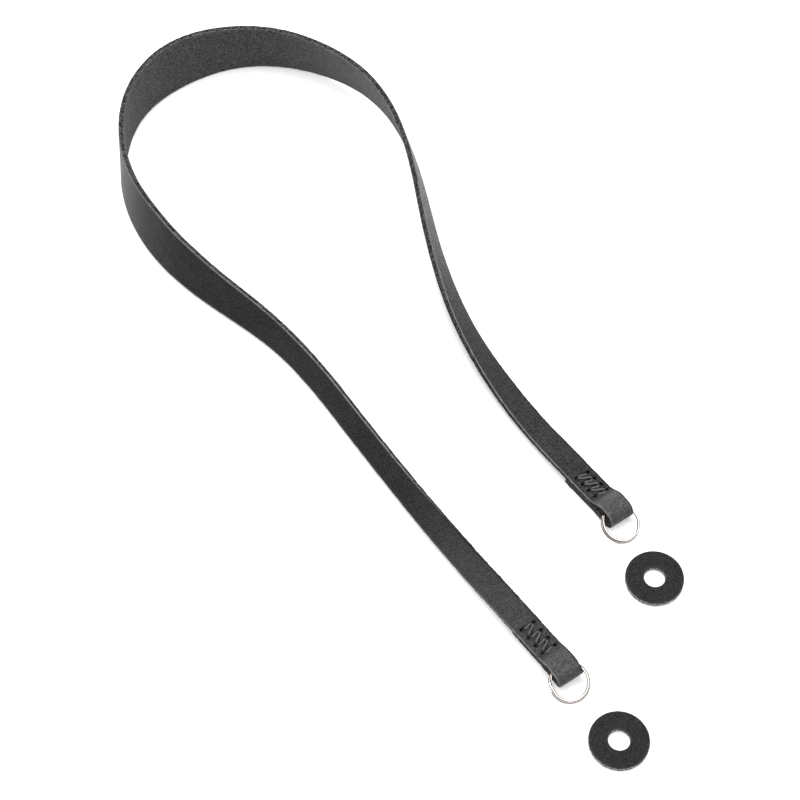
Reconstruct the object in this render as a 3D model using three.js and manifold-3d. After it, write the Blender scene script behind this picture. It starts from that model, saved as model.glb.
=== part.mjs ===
// A leather camera neck strap lying in a loop, with its two split rings and two loose leather washers.
// Millimetres, Z up. The strap lies on the plane z = 0, the origin is under the middle of the part,
// and +Y points from the ringed ends to the loop.

import * as THREE from 'three';
import Module from 'manifold-3d';
import { mergeVertices } from 'three/addons/utils/BufferGeometryUtils.js';

const wasm = await Module();
wasm.setup();
const { Manifold, Mesh: SolidMesh } = wasm;

// Leather strip
const THICK = 3.2;
const FOLD_THICK = 2.2;
const EDGE_BEVEL = 0.5;
const MIDDLE_WIDTH = 35.5;
const END_WIDTH = 14.0;
const WIDEST_AT = 441.5;
const TAPER_REACH = 287.5;
const STRIP_STEP = 6;
const LAYER_GAP = 0.3;
const LAYER_PITCH = THICK + LAYER_GAP;

// Route of the strip's lower edge, from the start of the fold at end A round to that at end B.
// along: millimetres along the strip. x, y: where that edge lies. lift: its height, at mid-thickness.
// lean: how far the strip leans inward from upright, in degrees, so 90 lies flat with the grain up.
const ROUTE = [
  { along: 0, x: -38.5, y: -178.5, lean: 83, lift: 5.1 },
  { along: 22, x: -41.0, y: -156.5, lean: 79, lift: 5.1 },
  { along: 60, x: -44.5, y: -118.0, lean: 61, lift: 2.6 },
  { along: 110, x: -47.5, y: -68.0, lean: 45, lift: 1.3 },
  { along: 170, x: -50.0, y: -7.5, lean: 39, lift: 0.9 },
  { along: 230, x: -56.0, y: 52.0, lean: 26, lift: 0.8 },
  { along: 285, x: -73.5, y: 104.0, lean: 26, lift: 0.8 },
  { along: 325, x: -81.5, y: 144.0, lean: 20, lift: 1.0 },
  { along: 360, x: -78.5, y: 180.0, lean: 10, lift: 1.2 },
  { along: 395, x: -64.5, y: 212.0, lean: 4, lift: 1.3 },
  { along: 430, x: -39.5, y: 236.5, lean: 0, lift: 1.0 },
  { along: 465, x: -6.5, y: 245.0, lean: -6, lift: 0.4 },
  { along: 500, x: 27.5, y: 240.0, lean: -2, lift: 0.3 },
  { along: 540, x: 59.0, y: 217.0, lean: 1, lift: 1.5 },
  { along: 590, x: 80.5, y: 171.0, lean: 7, lift: 5.5 },
  { along: 650, x: 74.0, y: 112.0, lean: 15, lift: 8.0 },
  { along: 710, x: 54.5, y: 55.5, lean: 30, lift: 5.5 },
  { along: 770, x: 43.0, y: -2.5, lean: 54, lift: 1.8 },
  { along: 825, x: 42.5, y: -57.5, lean: 80, lift: 2.2 },
  { along: 864, x: 45.5, y: -96.0, lean: 90, lift: 5.1 },
  { along: 887, x: 48.0, y: -118.5, lean: 90, lift: 5.1 },
];
const RUN_LENGTH = ROUTE[ROUTE.length - 1].along;

// Folded ends. The strip turns back under itself past its start of fold, round a ring.
// rise: how far past that start the fold reaches its full height. bulge: how much higher it is there.
// nose: how far out its round front begins. swing: how far that front has swung to the near edge, in
// degrees. tail: how far back the turned-under layer reaches. near: the side of the near edge.
const ENDS = {
  a: { at: 0, ahead: -1, near: -1, rise: 11, bulge: 4.6, nose: 14.5, swing: 7, tail: 19.4 },
  b: { at: RUN_LENGTH, ahead: 1, near: 1, rise: 10.5, bulge: 5.4, nose: 13, swing: 5, tail: 18.8 },
};
const RISE_STEPS = 10;
const NOSE_STEPS = 12;

// Lacing through two rows of holes
// first: how far ahead of the fold's start the last pair of holes lies. pitch: between pairs.
// side: how far the rows are off the strip's middle there. drift: how fast that changes going back.
const LACING = {
  a: { first: 1.2, pitch: 5.4, side: 0.2, drift: 0, startsNear: true },
  b: { first: 0.7, pitch: 4.85, side: -0.75, drift: 0.06, startsNear: false },
};
const HOLES_IN_ROW = 4;
const ROW_SPACING = 6.9;
const ROW_STAGGER = 0.9;
const LACE_RADIUS = 0.6;
const LACE_CLEARANCE = 0.3;
const LACE_PROUD = 0.15;
const POST_RADIUS = 0.68;
const LACE_SIDES = 6;

// Split rings of two turns, each turn one flattened wire
const RING_RADIUS = 10.2;
const RING_WIRE_WIDTH = 1.3;
const RING_WIRE_HEIGHT = 1.1;
const RING_WIRE_BEVEL = 0.3;
const RING_TURN_PITCH = 1.2;
const RING_CROSSOVER = 34;
const RING_STEPS = 72;
// ahead: from the fold's start to the ring's middle. side: off the fold's centre line.
// tilt: how far the ring dips away from the fold. cut: where round the ring its two wire ends meet.
const RINGS = {
  a: { ahead: 20.0, side: -1.1, tilt: 16, cut: 250 },
  b: { ahead: 19.4, side: 1.2, tilt: 18, cut: 40 },
};

// Loose washers, lying beside the ends
const WASHER_RADIUS = 15;
const WASHER_HOLE = 5.45;
const WASHER_THICK = 3;
const WASHER_BEVEL = 0.35;
const WASHER_SIDES = 48;
const WASHERS = {
  a: { x: -28.0, y: -235.0 },
  b: { x: 38.2, y: -172.8 },
};

const UP = new THREE.Vector3(0, 0, 1);
const radians = THREE.MathUtils.degToRad;

// A natural cubic spline through one column of the route. It returns value and slope.
function smoothCurve(column) {
  const s = ROUTE.map((row) => row.along);
  const v = ROUTE.map((row) => row[column]);
  const last = s.length - 1;
  const bend = new Array(last + 1).fill(0);
  const carry = new Array(last + 1).fill(0);
  for (let i = 1; i < last; i++) {
    const before = s[i] - s[i - 1];
    const after = s[i + 1] - s[i];
    const pull = 6 * ((v[i + 1] - v[i]) / after - (v[i] - v[i - 1]) / before);
    const pivot = 2 * (before + after) - before * carry[i - 1];
    carry[i] = after / pivot;
    bend[i] = (pull - before * bend[i - 1]) / pivot;
  }
  for (let i = last - 1; i > 0; i--) bend[i] -= carry[i] * bend[i + 1];
  return (along) => {
    let i = 0;
    while (i < last - 1 && along > s[i + 1]) i++;
    const span = s[i + 1] - s[i];
    const p = (s[i + 1] - along) / span;
    const q = (along - s[i]) / span;
    const value = p * v[i] + q * v[i + 1]
      + ((p ** 3 - p) * bend[i] + (q ** 3 - q) * bend[i + 1]) * span * span / 6;
    const slope = (v[i + 1] - v[i]) / span
      + ((3 * q * q - 1) * bend[i + 1] - (3 * p * p - 1) * bend[i]) * span / 6;
    return { value, slope };
  };
}

// A curve through one column that never overshoots a row, for the lean and the lift.
function steadyCurve(column) {
  const s = ROUTE.map((row) => row.along);
  const v = ROUTE.map((row) => row[column]);
  const last = s.length - 1;
  const rate = (i) => (v[i + 1] - v[i]) / (s[i + 1] - s[i]);
  const slopes = s.map((_, i) => {
    if (i === 0 || i === last) return 0;
    const before = rate(i - 1);
    const after = rate(i);
    return before * after <= 0 ? 0 : 2 * before * after / (before + after);
  });
  return (along) => {
    let i = 0;
    while (i < last - 1 && along > s[i + 1]) i++;
    const span = s[i + 1] - s[i];
    const q = (along - s[i]) / span;
    const value = v[i] * (1 + 2 * q) * (1 - q) ** 2 + v[i + 1] * q * q * (3 - 2 * q)
      + span * (slopes[i] * q * (1 - q) ** 2 - slopes[i + 1] * q * q * (1 - q));
    const slope = 6 * q * (1 - q) * (v[i + 1] - v[i]) / span
      + slopes[i] * (1 - q) * (1 - 3 * q) + slopes[i + 1] * q * (3 * q - 2);
    return { value, slope };
  };
}

const routeX = smoothCurve('x');
const routeY = smoothCurve('y');
const routeLift = steadyCurve('lift');
const routeLean = steadyCurve('lean');

function ease(t) {
  const c = THREE.MathUtils.clamp(t, 0, 1);
  return c * c * (3 - 2 * c);
}

function stripWidth(along) {
  const away = Math.abs(along - WIDEST_AT) / TAPER_REACH;
  return MIDDLE_WIDTH + (END_WIDTH - MIDDLE_WIDTH) * ease(away);
}

// The strip's frame at one place: its centre, the direction along it, the direction across it from
// the lower edge to the upper one, and the direction in which the grain side faces.
function frameAt(along) {
  const x = routeX(along);
  const y = routeY(along);
  const lift = routeLift(along);
  const foot = new THREE.Vector3(x.value, y.value, lift.value);
  const tangent = new THREE.Vector3(x.slope, y.slope, lift.slope).normalize();
  const inward = new THREE.Vector3().crossVectors(tangent, UP).normalize();
  const lean = radians(routeLean(along).value);
  const across = UP.clone().multiplyScalar(Math.cos(lean)).addScaledVector(inward, Math.sin(lean));
  across.addScaledVector(tangent, -across.dot(tangent)).normalize();
  const grain = new THREE.Vector3().crossVectors(across, tangent).normalize();
  const width = stripWidth(along);
  const centre = foot.addScaledVector(across, width / 2);
  return { centre, tangent, across, grain, width, thick: THICK };
}

// The frame some way back from the start of an end's fold.
function lapFrame(end, back) {
  return frameAt(end.at - end.ahead * back);
}

// The frame some way past the start of the fold, which swings a little to the near edge.
function foldFrame(end, out) {
  const base = frameAt(end.at);
  const front = end.nose + (end.bulge + LAYER_PITCH) / 2;
  const angle = radians(end.swing) * out / front;
  const ahead = base.tangent.clone().multiplyScalar(end.ahead);
  const near = base.across.clone().multiplyScalar(end.near);
  const centre = base.centre.clone()
    .addScaledVector(ahead, out * (1 - angle * angle / 6))
    .addScaledVector(near, out * angle / 2);
  const forward = ahead.clone().multiplyScalar(Math.cos(angle)).addScaledVector(near, Math.sin(angle));
  const toNear = near.multiplyScalar(Math.cos(angle)).addScaledVector(ahead, -Math.sin(angle));
  const across = toNear.multiplyScalar(end.near);
  return { centre, forward, across, grain: base.grain, width: base.width };
}

// A place in a frame: to one side of its centre, and above its mid-thickness.
function placeIn(frame, side, above) {
  return frame.centre.clone()
    .addScaledVector(frame.across, side)
    .addScaledVector(frame.grain, above);
}

// Cross-sections of the strip from the start of one end's fold round it to the cut tail.
// The leather is pared on its flesh side where it folds, so its grain side keeps its place.
function foldSections(end) {
  const noseRadius = (end.bulge + LAYER_PITCH) / 2;
  const path = [];
  for (let i = 1; i <= RISE_STEPS; i++) {
    const t = i / RISE_STEPS;
    const slope = Math.atan2(end.bulge * 6 * t * (1 - t), end.rise);
    const thinned = THREE.MathUtils.lerp(THICK, FOLD_THICK, ease(t));
    path.push({ out: end.rise * t, above: riseAt(end, end.rise * t), turn: -slope, thick: thinned });
  }
  for (let i = 0; i <= NOSE_STEPS; i++) {
    const turn = Math.PI * i / NOSE_STEPS;
    path.push({
      out: end.nose + noseRadius * Math.sin(turn),
      above: end.bulge - noseRadius * (1 - Math.cos(turn)),
      turn,
      thick: FOLD_THICK,
    });
  }
  path.push({ out: end.nose / 2, above: -LAYER_PITCH, turn: Math.PI, thick: (THICK + FOLD_THICK) / 2 });
  const sections = path.map(({ out, above, turn, thick }) => {
    const frame = foldFrame(end, out);
    const grain = frame.grain.clone()
      .multiplyScalar(Math.cos(turn))
      .addScaledVector(frame.forward, Math.sin(turn));
    const centre = placeIn(frame, 0, above).addScaledVector(grain, (THICK - thick) / 2);
    return { centre, across: frame.across, grain, width: frame.width, thick };
  });
  const tailSteps = 4;
  for (let i = 0; i <= tailSteps; i++) {
    const frame = lapFrame(end, end.tail * i / tailSteps);
    sections.push({
      centre: placeIn(frame, 0, -LAYER_PITCH),
      across: frame.across,
      grain: frame.grain.clone().negate(),
      width: END_WIDTH,
      thick: THICK,
    });
  }
  return sections;
}

// The corners of a flat bar's cross-section, with beveled edges.
function barCorners(width, height, bevel) {
  const w = width / 2;
  const h = height / 2;
  return [
    [-w, h - bevel], [-w + bevel, h], [w - bevel, h], [w, h - bevel],
    [w, -h + bevel], [w - bevel, -h], [-w + bevel, -h], [-w, -h + bevel],
  ];
}

function sectionOutline(section) {
  const corners = barCorners(section.width, section.thick, EDGE_BEVEL);
  return corners.map(([side, above]) => placeIn(section, side, above));
}

function solidFrom(points, triangles) {
  return new Manifold(new SolidMesh({
    numProp: 3,
    vertProperties: new Float32Array(points.flatMap((p) => [p.x, p.y, p.z])),
    triVerts: new Uint32Array(triangles.flat()),
  }));
}

// A closed solid through a row of outlines with the same number of points.
function loft(outlines) {
  const count = outlines[0].length;
  const points = outlines.flat();
  const triangles = [];
  for (let i = 0; i + 1 < outlines.length; i++) {
    for (let j = 0; j < count; j++) {
      const a = i * count + j;
      const b = i * count + (j + 1) % count;
      triangles.push([a, b, b + count], [a, b + count, a + count]);
    }
  }
  const end = (outlines.length - 1) * count;
  for (let j = 1; j + 1 < count; j++) {
    triangles.push([0, j + 1, j], [end, end + j, end + j + 1]);
  }
  return solidFrom(points, triangles);
}

// A straight rod from one point to another.
function rod(from, to, radius) {
  const axis = new THREE.Vector3().subVectors(to, from);
  const turn = new THREE.Quaternion().setFromUnitVectors(UP, axis.clone().normalize());
  const outline = (at) => Array.from({ length: LACE_SIDES }, (_, i) => {
    const angle = 2 * Math.PI * (i + 0.5) / LACE_SIDES;
    return new THREE.Vector3(Math.cos(angle), Math.sin(angle), 0)
      .multiplyScalar(radius)
      .applyQuaternion(turn)
      .add(at);
  });
  return loft([outline(from), outline(to)]);
}

// How high a fold's upper layer has risen some way past its start.
function riseAt(end, out) {
  return end.bulge * ease(out / end.rise);
}

// Where each hole passes, in the order in which the zigzag meets them from the tail's cut end.
// The two rows are staggered, with the near row a little further back.
function holePlaces(end, lacing) {
  const places = [];
  for (let i = HOLES_IN_ROW - 1; i >= 0; i--) {
    const back = i * lacing.pitch - lacing.first;
    const near = { back: back + ROW_STAGGER / 2, side: end.near * ROW_SPACING / 2 };
    const far = { back: back - ROW_STAGGER / 2, side: -end.near * ROW_SPACING / 2 };
    places.push(...(lacing.startsNear ? [near, far] : [far, near]));
  }
  return places.map(({ back, side }) => {
    const frame = back >= 0 ? lapFrame(end, back) : foldFrame(end, -back);
    const at = (above) => placeIn(frame, side + lacing.side + lacing.drift * back, above);
    return {
      top: at(THICK / 2 + LACE_PROUD + riseAt(end, -back)),
      bottom: at(-LAYER_PITCH - THICK / 2 + LACE_RADIUS + LACE_PROUD / 2),
    };
  });
}

// The lace as rods: a zigzag over the top layer, one under the tail, and a post in every hole.
// The cutter for its holes and troughs is the same with a clearance.
function laceSolid(end, lacing, clearance) {
  const radius = LACE_RADIUS + clearance;
  const postRadius = POST_RADIUS + clearance;
  const places = holePlaces(end, lacing);
  const parts = [];
  places.forEach(({ top, bottom }, i) => {
    const reach = new THREE.Vector3().subVectors(top, bottom).setLength(radius);
    parts.push(rod(bottom.clone().sub(reach), top.clone().add(reach), postRadius));
    const next = places[i + 1];
    if (next) parts.push(rod(top, next.top, radius), rod(bottom, next.bottom, radius));
  });
  return Manifold.union(parts);
}

// The whole strip, with the lace's holes and troughs cut into it.
function strapSolid() {
  const steps = Math.round(RUN_LENGTH / STRIP_STEP);
  const run = Array.from({ length: steps + 1 }, (_, i) => frameAt(RUN_LENGTH * i / steps));
  const sections = [...foldSections(ENDS.a).reverse(), ...run, ...foldSections(ENDS.b)];
  const strip = loft(sections.map(sectionOutline));
  return strip
    .subtract(laceSolid(ENDS.a, LACING.a, LACE_CLEARANCE))
    .subtract(laceSolid(ENDS.b, LACING.b, LACE_CLEARANCE));
}

// One split ring, lying flat round the origin: a wire of nearly two turns that steps up halfway.
function ringWire(cut) {
  const corners = barCorners(RING_WIRE_WIDTH, RING_WIRE_HEIGHT, RING_WIRE_BEVEL);
  const wireRadius = RING_RADIUS - RING_WIRE_WIDTH / 2;
  const from = RING_CROSSOVER / 2;
  const to = 720 - RING_CROSSOVER / 2;
  const outlines = [];
  for (let i = 0; i <= RING_STEPS; i++) {
    const degrees = from + (to - from) * i / RING_STEPS;
    const climb = ease((degrees - 360) / RING_CROSSOVER + 0.5) - 0.5;
    const angle = radians(degrees + cut);
    outlines.push(corners.map(([out, above]) => new THREE.Vector3(
      (wireRadius + out) * Math.cos(angle),
      (wireRadius + out) * Math.sin(angle),
      RING_TURN_PITCH * climb + above,
    )));
  }
  return loft(outlines);
}

// A ring in its fold: its far side rests on the surface and its near side lies inside the fold.
function ringSolid(end, { ahead, side, tilt, cut }) {
  const fold = foldFrame(end, ahead);
  const middle = placeIn(fold, side, 0);
  const dip = radians(tilt);
  const outward = fold.forward.clone()
    .multiplyScalar(Math.cos(dip))
    .addScaledVector(fold.grain, -Math.sin(dip));
  const normal = fold.grain.clone()
    .multiplyScalar(Math.cos(dip))
    .addScaledVector(fold.forward, Math.sin(dip));
  const sideways = new THREE.Vector3().crossVectors(normal, outward);
  const turned = new THREE.Matrix4().makeBasis(outward, sideways, normal).setPosition(middle.x, middle.y, 0);
  const ring = ringWire(cut).transform(turned.toArray());
  return ring.translate(0, 0, -ring.boundingBox().min[2]);
}

function washerSolid({ x, y }) {
  const b = WASHER_BEVEL;
  const profile = [
    [WASHER_HOLE, b], [WASHER_HOLE + b, 0], [WASHER_RADIUS - b, 0], [WASHER_RADIUS, b],
    [WASHER_RADIUS, WASHER_THICK - b], [WASHER_RADIUS - b, WASHER_THICK],
    [WASHER_HOLE + b, WASHER_THICK], [WASHER_HOLE, WASHER_THICK - b], [WASHER_HOLE, b],
  ];
  const outline = profile.map(([radius, height]) => new THREE.Vector2(radius, height));
  const lathe = new THREE.LatheGeometry(outline, WASHER_SIDES);
  lathe.rotateX(Math.PI / 2);
  lathe.translate(x, y, 0);
  return solidOf(lathe);
}

function solidOf(geometry) {
  const plain = new THREE.BufferGeometry();
  plain.setAttribute('position', geometry.getAttribute('position'));
  plain.setIndex(geometry.getIndex());
  const merged = mergeVertices(plain, 1e-4);
  return new Manifold(new SolidMesh({
    numProp: 3,
    vertProperties: new Float32Array(merged.getAttribute('position').array),
    triVerts: new Uint32Array(merged.getIndex().array),
  }));
}

function geometryOf(solid) {
  const { vertProperties, triVerts } = solid.getMesh();
  const geometry = new THREE.BufferGeometry();
  geometry.setAttribute('position', new THREE.BufferAttribute(new Float32Array(vertProperties), 3));
  geometry.setIndex(new THREE.BufferAttribute(new Uint32Array(triVerts), 1));
  geometry.computeVertexNormals();
  return geometry;
}

const LEATHER = { color: 0x3a3a3b, roughness: 0.6, metalness: 0 };
const LACE = { color: 0x2e2e2f, roughness: 0.7, metalness: 0 };
const STEEL = { color: 0xd9d6d2, roughness: 0.15, metalness: 1 };

const part = new THREE.Group();

function addNode(name, solid, look) {
  const material = new THREE.MeshStandardMaterial({ ...look, flatShading: true });
  const mesh = new THREE.Mesh(geometryOf(solid), material);
  mesh.name = name;
  part.add(mesh);
}

addNode('strap', strapSolid(), LEATHER);
addNode('lacing_a', laceSolid(ENDS.a, LACING.a, 0), LACE);
addNode('lacing_b', laceSolid(ENDS.b, LACING.b, 0), LACE);
addNode('split_ring_a', ringSolid(ENDS.a, RINGS.a), STEEL);
addNode('split_ring_b', ringSolid(ENDS.b, RINGS.b), STEEL);
addNode('washer_a', washerSolid(WASHERS.a), LEATHER);
addNode('washer_b', washerSolid(WASHERS.b), LEATHER);

export default part;
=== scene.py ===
# Leather camera neck strap with split rings and loose washers, on a plain white ground.
import math

import bpy
import numpy as np
from mathutils import Matrix, Vector


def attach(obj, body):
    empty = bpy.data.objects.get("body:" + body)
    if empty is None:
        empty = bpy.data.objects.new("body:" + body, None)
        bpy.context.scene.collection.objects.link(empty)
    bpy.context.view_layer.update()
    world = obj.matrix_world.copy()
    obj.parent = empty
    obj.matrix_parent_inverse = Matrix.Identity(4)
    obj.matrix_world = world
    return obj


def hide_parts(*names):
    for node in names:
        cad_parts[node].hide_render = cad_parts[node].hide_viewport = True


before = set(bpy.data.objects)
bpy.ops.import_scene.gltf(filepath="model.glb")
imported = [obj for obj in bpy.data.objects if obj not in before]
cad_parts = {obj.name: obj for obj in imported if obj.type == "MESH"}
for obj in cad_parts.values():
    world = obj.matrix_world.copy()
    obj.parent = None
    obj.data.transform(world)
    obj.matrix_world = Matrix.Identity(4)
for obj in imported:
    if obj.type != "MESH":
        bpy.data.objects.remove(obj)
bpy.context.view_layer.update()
MM = 0.001

# Zones of a leather surface, in the order of its materials
GRAIN_ZONE = 0
EDGE_ZONE = 1
FLESH_ZONE = 2

# Camera: its place, lens and sensor in millimetres, and its angles in degrees
CAMERA_AT = (-301.3, -484.2, 905.6)
CAMERA_TURN = -31.26
CAMERA_PITCH = 58.62
CAMERA_ROLL = -0.865
CAMERA_LENS = 88.26
CAMERA_SENSOR = 36

# Leather strip, as in the CAD model, in millimetres and degrees
THICK = 3.2
FOLD_THICK = 2.2
MIDDLE_WIDTH = 35.5
END_WIDTH = 14.0
WIDEST_AT = 441.5
TAPER_REACH = 287.5
LAYER_PITCH = 3.5
HOLES_IN_ROW = 4
ROW_SPACING = 6.9
ROW_STAGGER = 0.9
ROUTE_COLUMNS = ("along", "x", "y", "lean", "lift")
ROUTE = np.array([
    (0, -38.5, -178.5, 83, 5.1),
    (22, -41.0, -156.5, 79, 5.1),
    (60, -44.5, -118.0, 61, 2.6),
    (110, -47.5, -68.0, 45, 1.3),
    (170, -50.0, -7.5, 39, 0.9),
    (230, -56.0, 52.0, 26, 0.8),
    (285, -73.5, 104.0, 26, 0.8),
    (325, -81.5, 144.0, 20, 1.0),
    (360, -78.5, 180.0, 10, 1.2),
    (395, -64.5, 212.0, 4, 1.3),
    (430, -39.5, 236.5, 0, 1.0),
    (465, -6.5, 245.0, -6, 0.4),
    (500, 27.5, 240.0, -2, 0.3),
    (540, 59.0, 217.0, 1, 1.5),
    (590, 80.5, 171.0, 7, 5.5),
    (650, 74.0, 112.0, 15, 8.0),
    (710, 54.5, 55.5, 30, 5.5),
    (770, 43.0, -2.5, 54, 1.8),
    (825, 42.5, -57.5, 80, 2.2),
    (864, 45.5, -96.0, 90, 5.1),
    (887, 48.0, -118.5, 90, 5.1),
])
RUN_LENGTH = 887.0
ENDS = {
    "a": dict(at=0.0, ahead=-1, near=-1, rise=11, bulge=4.6, nose=14.5, swing=7, tail=19.4),
    "b": dict(at=RUN_LENGTH, ahead=1, near=1, rise=10.5, bulge=5.4, nose=13, swing=5, tail=18.8),
}
LACING = {
    "a": dict(first=1.2, pitch=5.4, side=0.2, drift=0.0, starts_near=True),
    "b": dict(first=0.7, pitch=4.85, side=-0.75, drift=0.06, starts_near=False),
}

# Rings and washers, as in the CAD model
RINGS = {
    "a": dict(ahead=20.0, side=-1.1, tilt=16, cut=250),
    "b": dict(ahead=19.4, side=1.2, tilt=18, cut=40),
}
RING_RADIUS = 10.2
RING_WIRE_WIDTH = 1.3
RING_WIRE_HEIGHT = 1.1
RING_TURN_PITCH = 1.2
RING_CROSSOVER = 34
WASHERS = {"a": (-28.0, -235.0), "b": (38.2, -172.8)}
WASHER_RADIUS = 15.0
WASHER_HOLE = 5.45
WASHER_THICK = 3.0

# The strap's fine mesh
GRAIN_COLUMNS = 37
FLESH_COLUMNS = 17
EDGE_COLUMNS = 6
CORNER_RADIUS = 0.35
CORNER_ANGLES = (30, 60)
RUN_STEP = 1.15
LACED_LENGTH = 19.0
LACED_STEP = 0.33
TAIL_STEP = 0.4
EDGE_WAVE = 0.16
EDGE_RIPPLE = 0.10
EDGE_FRAY = 0.12
EDGE_REACH = 0.9
FUZZ_COUNT = 9000
FUZZ_ROOT = 0.06

# Where the strap's surface changes, as places along it: creased by handling, with a painted highlight, near
# end A, painted shade along the far edge near both ends, and a painted sheen on the flesh side of the far
# branch
CREASES_AND_HIGHLIGHT_AT_A = 0.3
CREASES_AND_HIGHLIGHT_TO = (60, 120)
SHADED_TO = (130, 70)
FAR_SHEEN = 0.75
FAR_SHEEN_FROM = (515, 605)
FAR_SHEEN_TO = (640, 700)

# The lace: strands over and under the laps and posts in the holes, with depths below each face
LACE_RADIUS = 0.74
LACE_FLATNESS = 0.86
LACE_SIDES = 14
LACE_POINTS = 29
LACE_BEND = 1.0
LACE_SWAY = 0.3
LACE_SHIFT = 0.16
OVER_INSET = 0.7
OVER_SINK = 0.02
OVER_STEP = 0.12
OVER_DEPTH = 1.3
UNDER_INSET = 0.1
UNDER_SINK = 0.5
UNDER_DEPTH = 1.5
POST_TOP = 1.7
POST_FOOT = 1.2

# How the lace pulls the leather in
HOLE_RADIUS = 0.86
HOLE_STRETCH = 0.3
TROUGH_DEPTH = 0.46
TROUGH_REACH = 0.72
LIP_HEIGHT = 0.12
LIP_AT = 1.35
LIP_REACH = 0.5
DIMPLE_DEPTH = 0.28
DIMPLE_REACH = 1.3
PIT_DEPTH = 1.4

# Painted shade in the leather along the lace's two sides: how dark, where and how wide
OUTLINE_DARK = 0.75
OUTLINE_AT = 0.62
OUTLINE_REACH = 0.24

# The rings' and washers' fine meshes
RING_SPREAD = 0.5
RING_WIRE_FILL = 0.92
RING_FULLNESS = 0.8
RING_STEPS = 640
RING_CORNERS = 20
WASHER_CORNER = 0.28
WASHER_FRAY = 0.05
WASHER_WARP = 0.06
WASHER_STEPS = 220

# Light, with places in metres; the sky's heights are shares of straight up
HORIZON = (0.20, 0.15, 0.13)
CEILING = (1.65, 1.65, 1.65)
SKY_LOW = 0.10
SKY_HIGH = 0.34
FRONT = (-0.64, -0.77, 0.0)
FRONT_SHADE = 0.45
KEY_AT = (0.42, 0.68, 1.95)
KEY_SIZE = 1.3
KEY_POWER = 28
FLOOR_SIZE = 12.0
FLOOR_GAP = 0.00005
FLOOR_LIFT = 0.16


def smoothstep(t):
    t = np.clip(t, 0, 1)
    return t * t * (3 - 2 * t)


# The strip's route

def smooth_curve(column):
    """Natural cubic spline through one column of the route: value and slope."""
    s = ROUTE[:, 0]
    v = ROUTE[:, ROUTE_COLUMNS.index(column)]
    n = len(s)
    h = np.diff(s)
    matrix = np.eye(n)
    pull = np.zeros(n)
    for i in range(1, n - 1):
        matrix[i, i - 1], matrix[i, i], matrix[i, i + 1] = h[i - 1], 2 * (h[i - 1] + h[i]), h[i]
        pull[i] = 6 * ((v[i + 1] - v[i]) / h[i] - (v[i] - v[i - 1]) / h[i - 1])
    bend = np.linalg.solve(matrix, pull)

    def at(along):
        i = np.clip(np.searchsorted(s, along, side="left") - 1, 0, n - 2)
        span = h[i]
        p = (s[i + 1] - along) / span
        q = (along - s[i]) / span
        sagging = (p**3 - p) * bend[i] + (q**3 - q) * bend[i + 1]
        value = p * v[i] + q * v[i + 1] + sagging * span**2 / 6
        turning = (3 * q * q - 1) * bend[i + 1] - (3 * p * p - 1) * bend[i]
        slope = (v[i + 1] - v[i]) / span + turning * span / 6
        return value, slope

    return at


def steady_curve(column):
    """Curve through one column that never overshoots a row: value and slope."""
    s = ROUTE[:, 0]
    v = ROUTE[:, ROUTE_COLUMNS.index(column)]
    n = len(s)
    h = np.diff(s)
    rate = np.diff(v) / h
    slopes = np.zeros(n)
    for i in range(1, n - 1):
        before, after = rate[i - 1], rate[i]
        slopes[i] = 0 if before * after <= 0 else 2 * before * after / (before + after)

    def at(along):
        i = np.clip(np.searchsorted(s, along, side="left") - 1, 0, n - 2)
        q = (along - s[i]) / h[i]
        value = (v[i] * (1 + 2 * q) * (1 - q) ** 2 + v[i + 1] * q * q * (3 - 2 * q)
                 + h[i] * (slopes[i] * q * (1 - q) ** 2 - slopes[i + 1] * q * q * (1 - q)))
        slope = (6 * q * (1 - q) * (v[i + 1] - v[i]) / h[i]
                 + slopes[i] * (1 - q) * (1 - 3 * q) + slopes[i + 1] * q * (3 * q - 2))
        return value, slope

    return at


route_x = smooth_curve("x")
route_y = smooth_curve("y")
route_lift = steady_curve("lift")
route_lean = steady_curve("lean")


def unit(v):
    return v / np.linalg.norm(v, axis=-1, keepdims=True)


def strip_width(along):
    away = np.abs(along - WIDEST_AT) / TAPER_REACH
    return MIDDLE_WIDTH + (END_WIDTH - MIDDLE_WIDTH) * smoothstep(away)


def frames_at(along):
    """Centre, tangent, across and grain directions and width of the strip, one row a place."""
    along = np.atleast_1d(np.asarray(along, float))
    x, y, lift = route_x(along), route_y(along), route_lift(along)
    foot = np.stack([x[0], y[0], lift[0]], -1)
    tangent = unit(np.stack([x[1], y[1], lift[1]], -1))
    up = np.array([0, 0, 1.0])
    inward = unit(np.cross(tangent, up))
    lean = np.radians(route_lean(along)[0])[:, None]
    across = np.cos(lean) * up + np.sin(lean) * inward
    across = unit(across - (across * tangent).sum(1, keepdims=True) * tangent)
    grain = unit(np.cross(across, tangent))
    width = strip_width(along)
    centre = foot + across * width[:, None] / 2
    return dict(centre=centre, tangent=tangent, across=across, grain=grain, width=width)


def frame_at(along):
    return {k: v[0] for k, v in frames_at(along).items()}


def lap_frame(end, back):
    """The frame of the lap at a distance back from the start of its fold."""
    return frame_at(end["at"] - end["ahead"] * back)


def fold_frames(end, out):
    """The frames past the start of a fold, which swings a little to its near edge."""
    out = np.atleast_1d(np.asarray(out, float))
    base = frame_at(end["at"])
    angle = math.radians(end["swing"]) * out / (end["nose"] + (end["bulge"] + LAYER_PITCH) / 2)
    ahead = base["tangent"] * end["ahead"]
    near = base["across"] * end["near"]
    cos, sin = np.cos(angle)[:, None], np.sin(angle)[:, None]
    centre = base["centre"] + ahead * (out * (1 - angle**2 / 6))[:, None]
    centre += near * (out * angle / 2)[:, None]
    return dict(
        centre=centre,
        forward=ahead * cos + near * sin,
        across=(near * cos - ahead * sin) * end["near"],
        grain=np.repeat(base["grain"][None], len(out), 0),
        width=np.full(len(out), base["width"]),
    )


def fold_frame(end, out):
    return {k: v[0] for k, v in fold_frames(end, out).items()}


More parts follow.
